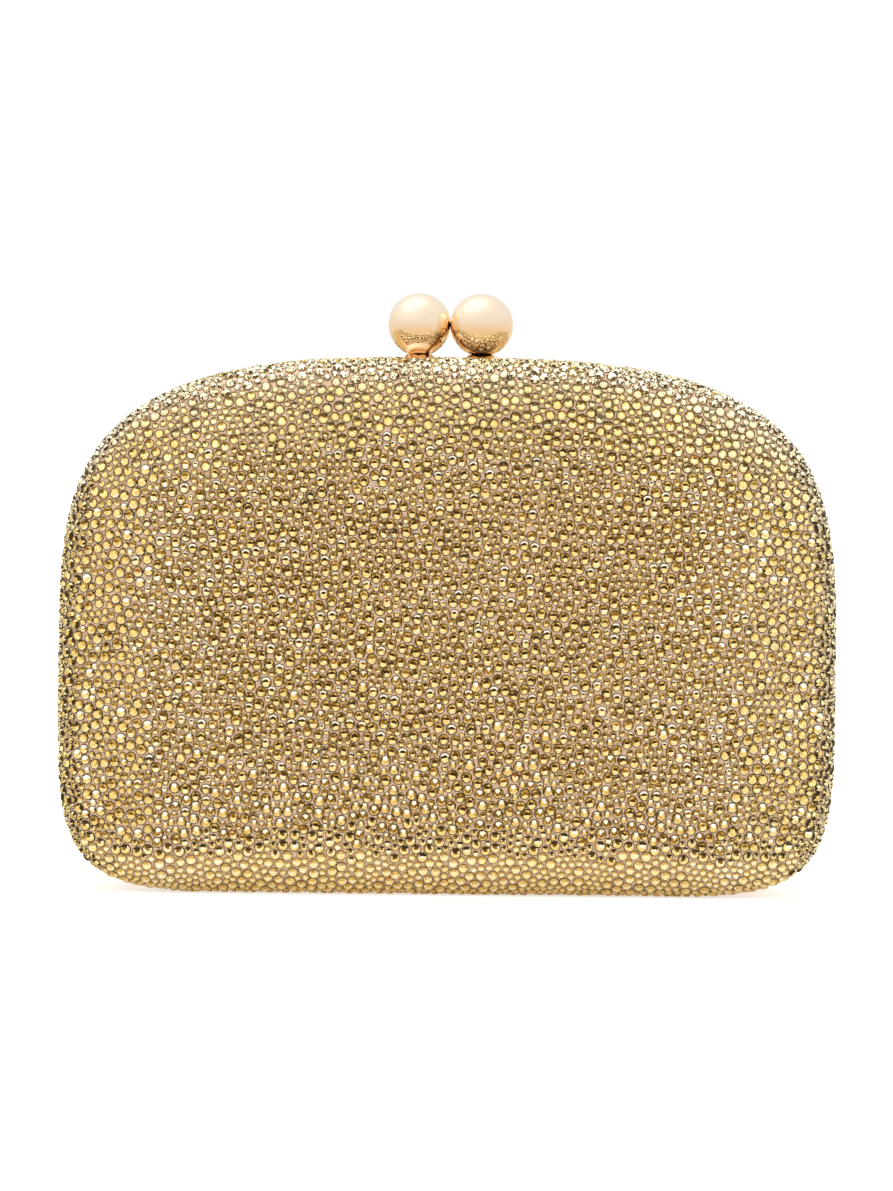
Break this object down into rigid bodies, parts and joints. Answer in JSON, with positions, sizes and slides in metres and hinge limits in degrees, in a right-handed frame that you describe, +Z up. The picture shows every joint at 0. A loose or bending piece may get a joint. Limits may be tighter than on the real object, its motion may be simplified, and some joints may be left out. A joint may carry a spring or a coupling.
{
  "type": "clutch",
  "caption": "Hard pillow-shaped evening clutch covered in small golden crystals, hinged along its base and closed by a ball kiss-lock.",
  "frame": {"origin": "centre of the base, on the surface that the clutch stands on", "axes": "+X across the width, to the right seen from the front; -Y out of the front face; +Z up to the kiss-lock"},
  "size_m": [0.1776, 0.05, 0.1369],
  "materials": {
    "crystal_suede": "satin",
    "moulded_shell": "matte",
    "lining_leather": "matte",
    "plated_brass": "satin",
    "polished_gold": "polished",
    "plated_steel": "satin"
  },
  "bodies": {
    "rear_half": {"rear_frame": "plated_brass", "rear_crystal_cover": "crystal_suede", "rear_shell": "moulded_shell", "rear_lining": "lining_leather", "rear_hinge_leaf": "plated_brass", "rear_leaf_rivet_1": "plated_steel", "rear_leaf_rivet_2": "plated_steel", "rear_leaf_rivet_3": "plated_steel", "hinge_pin": "plated_steel", "rear_pocket": "lining_leather", "pocket_welt": "lining_leather", "left_gusset": "lining_leather", "right_gusset": "lining_leather"},
    "front_half": {"front_frame": "plated_brass", "front_crystal_cover": "crystal_suede", "front_shell": "moulded_shell", "front_lining": "lining_leather", "front_hinge_leaf": "plated_brass", "front_leaf_rivet_1": "plated_steel", "front_leaf_rivet_2": "plated_steel", "front_leaf_rivet_3": "plated_steel"},
    "left_knob": {"left_ball": "polished_gold", "left_ball_nut": "plated_steel"},
    "right_knob": {"right_ball": "polished_gold", "right_ball_nut": "plated_steel"}
  },
  "joints": [
    {"name": "lid_hinge", "type": "hinge", "parent": "rear_half", "child": "front_half", "pos_m": [0, 0, 0.00165], "axis": [1, 0, 0], "range_deg": [0, 50], "deforming": ["left_gusset", "right_gusset"]},
    {"name": "left_ball_give", "type": "hinge", "parent": "front_half", "child": "left_knob", "pos_m": [-0.0071, -0.00165, 0.1186], "axis": [0, -1, 0], "range_deg": [0, 3], "stiffness_Nm_per_rad": 2},
    {"name": "right_ball_give", "type": "hinge", "parent": "rear_half", "child": "right_knob", "pos_m": [0.0071, 0.00165, 0.1186], "axis": [0, 1, 0], "range_deg": [0, 3], "stiffness_Nm_per_rad": 2}
  ]
}
